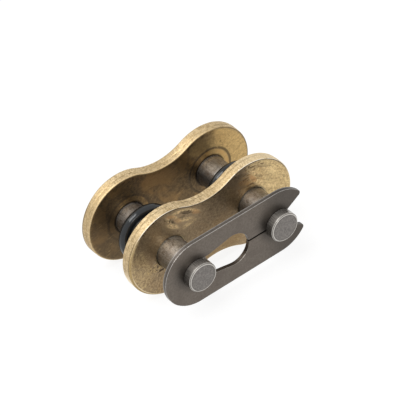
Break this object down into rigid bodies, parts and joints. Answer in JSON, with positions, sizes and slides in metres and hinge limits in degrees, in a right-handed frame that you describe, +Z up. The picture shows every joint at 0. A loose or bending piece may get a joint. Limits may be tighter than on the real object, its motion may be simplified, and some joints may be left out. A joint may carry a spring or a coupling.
{
  "type": "chain connecting link",
  "caption": "Clip-type connecting link of a sealed roller chain: a plate with riveted pins, loose cover plate, rubber sealing rings and a one-piece spring clip.",
  "frame": {"origin": "centre of the footprint, on the surface that the lower edges of the two plates stand on, under the middle of the pitch and midway between the pins' two ends", "axes": "+X from the clip's closed end towards its open end, along the pitch; +Y along the pins from the clip towards the rear plate; +Z up"},
  "size_m": [0.0314, 0.0212, 0.0155],
  "materials": {
    "plate_gold": "dull gold plating over steel, mottled brown",
    "pin_steel": "plain hardened steel, satin",
    "clip_steel": "dark blued spring steel, satin",
    "ring_rubber": "smooth black rubber, slightly glossy"
  },
  "bodies": {
    "link": {"rear_plate": "plate_gold", "left_pin": "pin_steel", "right_pin": "pin_steel", "spring_clip": "clip_steel"},
    "cover": {"cover_plate": "plate_gold"},
    "ring_left_rear": {"left_rear_ring": "ring_rubber"},
    "ring_right_rear": {"right_rear_ring": "ring_rubber"},
    "ring_left_front": {"left_front_ring": "ring_rubber"},
    "ring_right_front": {"right_front_ring": "ring_rubber"}
  },
  "joints": [
    {"name": "cover_slide", "type": "slide", "parent": "link", "child": "cover", "axis": [0, -1, 0], "range_m": [0, 0.00577]},
    {"name": "left_rear_ring_slide", "type": "slide", "parent": "link", "child": "ring_left_rear", "axis": [0, 1, 0], "range_m": [0, 0.0031]},
    {"name": "right_rear_ring_slide", "type": "slide", "parent": "link", "child": "ring_right_rear", "axis": [0, 1, 0], "range_m": [0, 0.00465]},
    {"name": "left_front_ring_slide", "type": "slide", "parent": "link", "child": "ring_left_front", "axis": [0, 1, 0], "range_m": [0, 0.00168]},
    {"name": "right_front_ring_slide", "type": "slide", "parent": "link", "child": "ring_right_front", "axis": [0, 1, 0], "range_m": [0, 0.00013]}
  ]
}
